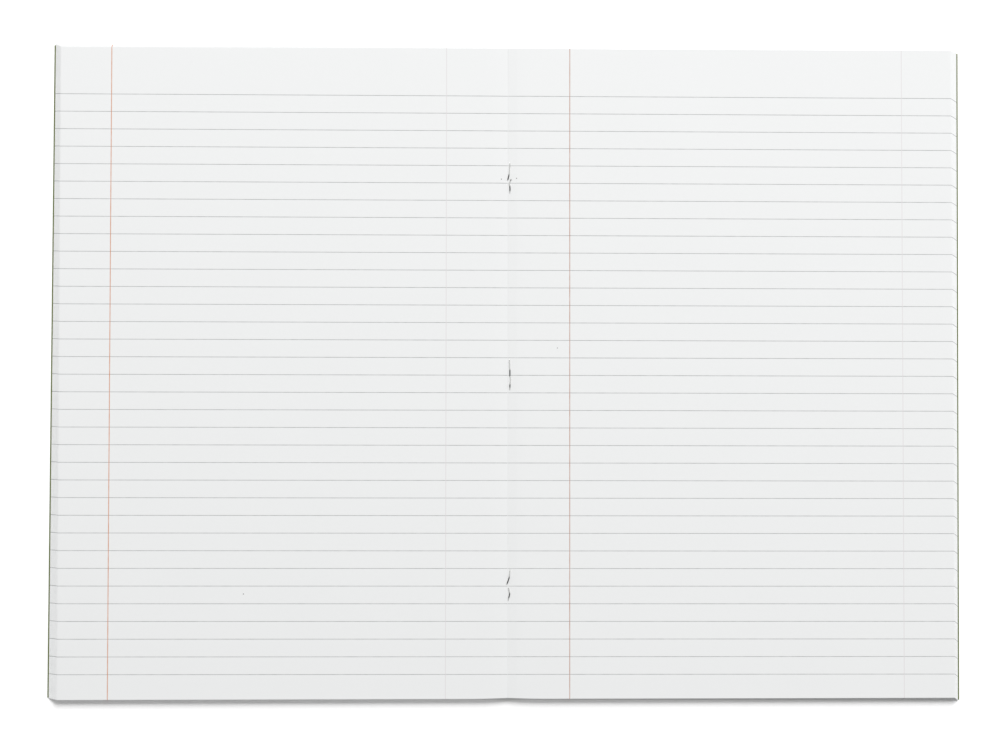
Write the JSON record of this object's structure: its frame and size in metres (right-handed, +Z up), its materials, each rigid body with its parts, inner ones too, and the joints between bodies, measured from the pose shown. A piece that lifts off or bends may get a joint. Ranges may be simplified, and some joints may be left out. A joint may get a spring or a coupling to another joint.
{
  "type": "open composition notebook",
  "caption": "Large ruled composition book lying open at its middle sheet: folded green card cover, stack of lined leaves on each side of the fold, wire staples through the fold.",
  "frame": {"origin": "on the surface that the open book lies on, below the fold, half way up the page", "axes": "+X to the right-hand page's fore-edge, +Y to the head of the page, +Z up"},
  "size_m": [0.415, 0.299, 0.0032],
  "materials": {
    "cover_card": "matt green coated card, its cut edges paler",
    "ruled_paper": "uncoated white writing paper with grey feint lines and rose margins",
    "staple_wire": "galvanised staple wire, dulled"
  },
  "bodies": {
    "back_half": {"back_cover": "cover_card", "right_pages": "ruled_paper", "staple_head": "staple_wire", "staple_middle": "staple_wire", "staple_tail": "staple_wire"},
    "front_half": {"front_cover": "cover_card", "left_pages": "ruled_paper"}
  },
  "joints": [
    {"name": "cover_fold", "type": "hinge", "parent": "back_half", "child": "front_half", "pos_m": [0, 0, 0.00322], "axis": [0, 1, 0], "range_deg": [0, 180]}
  ]
}
